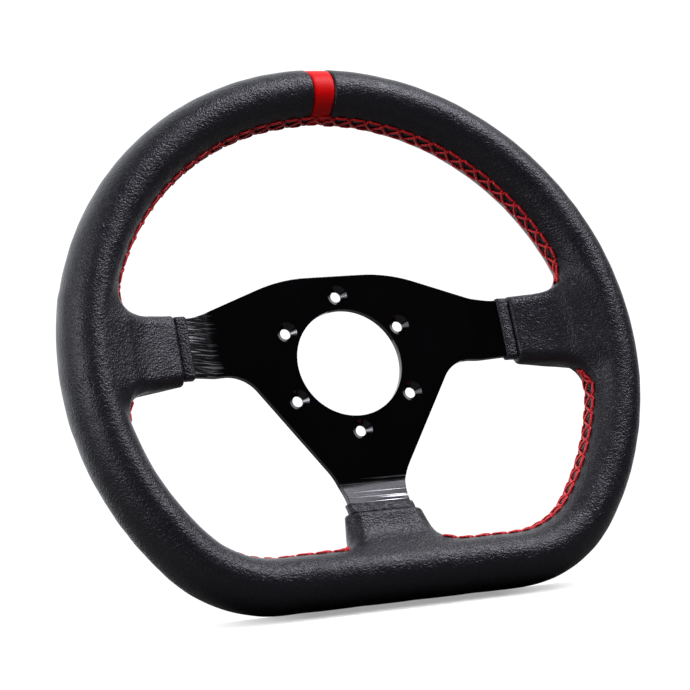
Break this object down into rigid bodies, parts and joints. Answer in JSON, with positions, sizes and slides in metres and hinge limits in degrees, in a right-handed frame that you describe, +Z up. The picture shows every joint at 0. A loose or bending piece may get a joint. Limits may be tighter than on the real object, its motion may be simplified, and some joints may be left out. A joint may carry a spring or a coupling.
{
  "type": "steering wheel",
  "caption": "Flat-bottomed three-spoke competition steering wheel with a leather-covered padded rim, red centre marker, cross-stitched seam and countersunk hub holes.",
  "frame": {"origin": "centre of the bolt circle on the spoke plate's back face, the face that seats on the steering hub", "axes": "+X to the driver's right, +Y away from the driver along the steering shaft, +Z up the wheel"},
  "size_m": [0.3026, 0.0342, 0.2744],
  "materials": {
    "anodised_plate": "gloss black anodised, brushed along the spokes",
    "hoop_steel": "plain drawn steel",
    "rivet_alloy": "plain",
    "grip_foam": "matte moulded foam",
    "black_leather": "pebbled grain, semi-matte",
    "collar_leather": "thin skived strip, semi-matte",
    "red_leather": "smooth dyed, satin",
    "red_thread": "waxed braided thread"
  },
  "bodies": {
    "root": {"spoke_plate": "anodised_plate", "rim_hoop": "hoop_steel", "foam_grip": "grip_foam", "leather_cover": "black_leather", "centre_marker": "red_leather", "collar_left": "collar_leather", "collar_right": "collar_leather", "collar_lower": "collar_leather", "hoop_tab_left": "hoop_steel", "hoop_tab_right": "hoop_steel", "hoop_tab_lower": "hoop_steel", "rivet_left_1": "rivet_alloy", "rivet_left_2": "rivet_alloy", "rivet_right_1": "rivet_alloy", "rivet_right_2": "rivet_alloy", "rivet_lower_1": "rivet_alloy", "rivet_lower_2": "rivet_alloy", "stitching_upper": "red_thread", "stitching_lower_left": "red_thread", "stitching_lower_right": "red_thread"}
  },
  "joints": []
}
